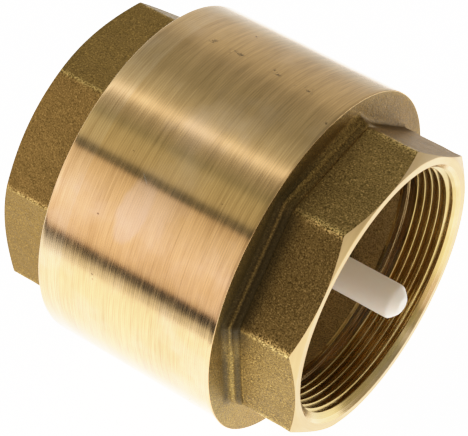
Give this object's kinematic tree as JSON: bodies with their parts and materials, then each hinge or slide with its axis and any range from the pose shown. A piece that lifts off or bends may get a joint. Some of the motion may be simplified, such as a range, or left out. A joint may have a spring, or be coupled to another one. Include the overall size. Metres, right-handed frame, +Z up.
{
  "type": "in-line spring check valve",
  "caption": "Brass in-line spring check valve with female pipe threads at both ends, octagonal wrench ends on a turned barrel, and a plastic disc stem guided along the axis.",
  "frame": {"origin": "on the valve axis where the inlet thread's full wall starts, 2.547 mm inside the inlet face", "axes": "+X along the valve axis in the flow direction, from the inlet to the outlet; +Z up, square to the axis; +Y to the left looking along the flow"},
  "size_m": [0.1024, 0.101, 0.101],
  "materials": {
    "brass_body": "turned barrel, blasted cast ends",
    "brass_end": "turned rim, blasted cast octagon",
    "brass_plate": "turned",
    "white_nylon": "satin, slightly translucent",
    "black_nylon": "satin, glass filled",
    "nbr_black": "matte",
    "nbr_joint": "matte",
    "stainless_wire": "drawn wire",
    "stainless_screw": "plain",
    "stainless_washer": "plain"
  },
  "bodies": {
    "housing": {"valve_body": "brass_body", "inlet_end_piece": "brass_end", "body_seal_ring": "nbr_joint", "stem_guide": "black_nylon", "return_spring": "stainless_wire"},
    "disc": {"disc_carrier": "white_nylon", "disc_seal": "nbr_black", "seal_clamp_plate": "brass_plate", "clamp_washer": "stainless_washer", "clamp_screw": "stainless_screw"}
  },
  "joints": [
    {"name": "disc_lift", "type": "slide", "parent": "housing", "child": "disc", "axis": [1, 0, 0], "range_m": [0, 0.015], "stiffness_N_per_m": 500, "springref_m": -0.015, "deforming": ["return_spring"]}
  ]
}
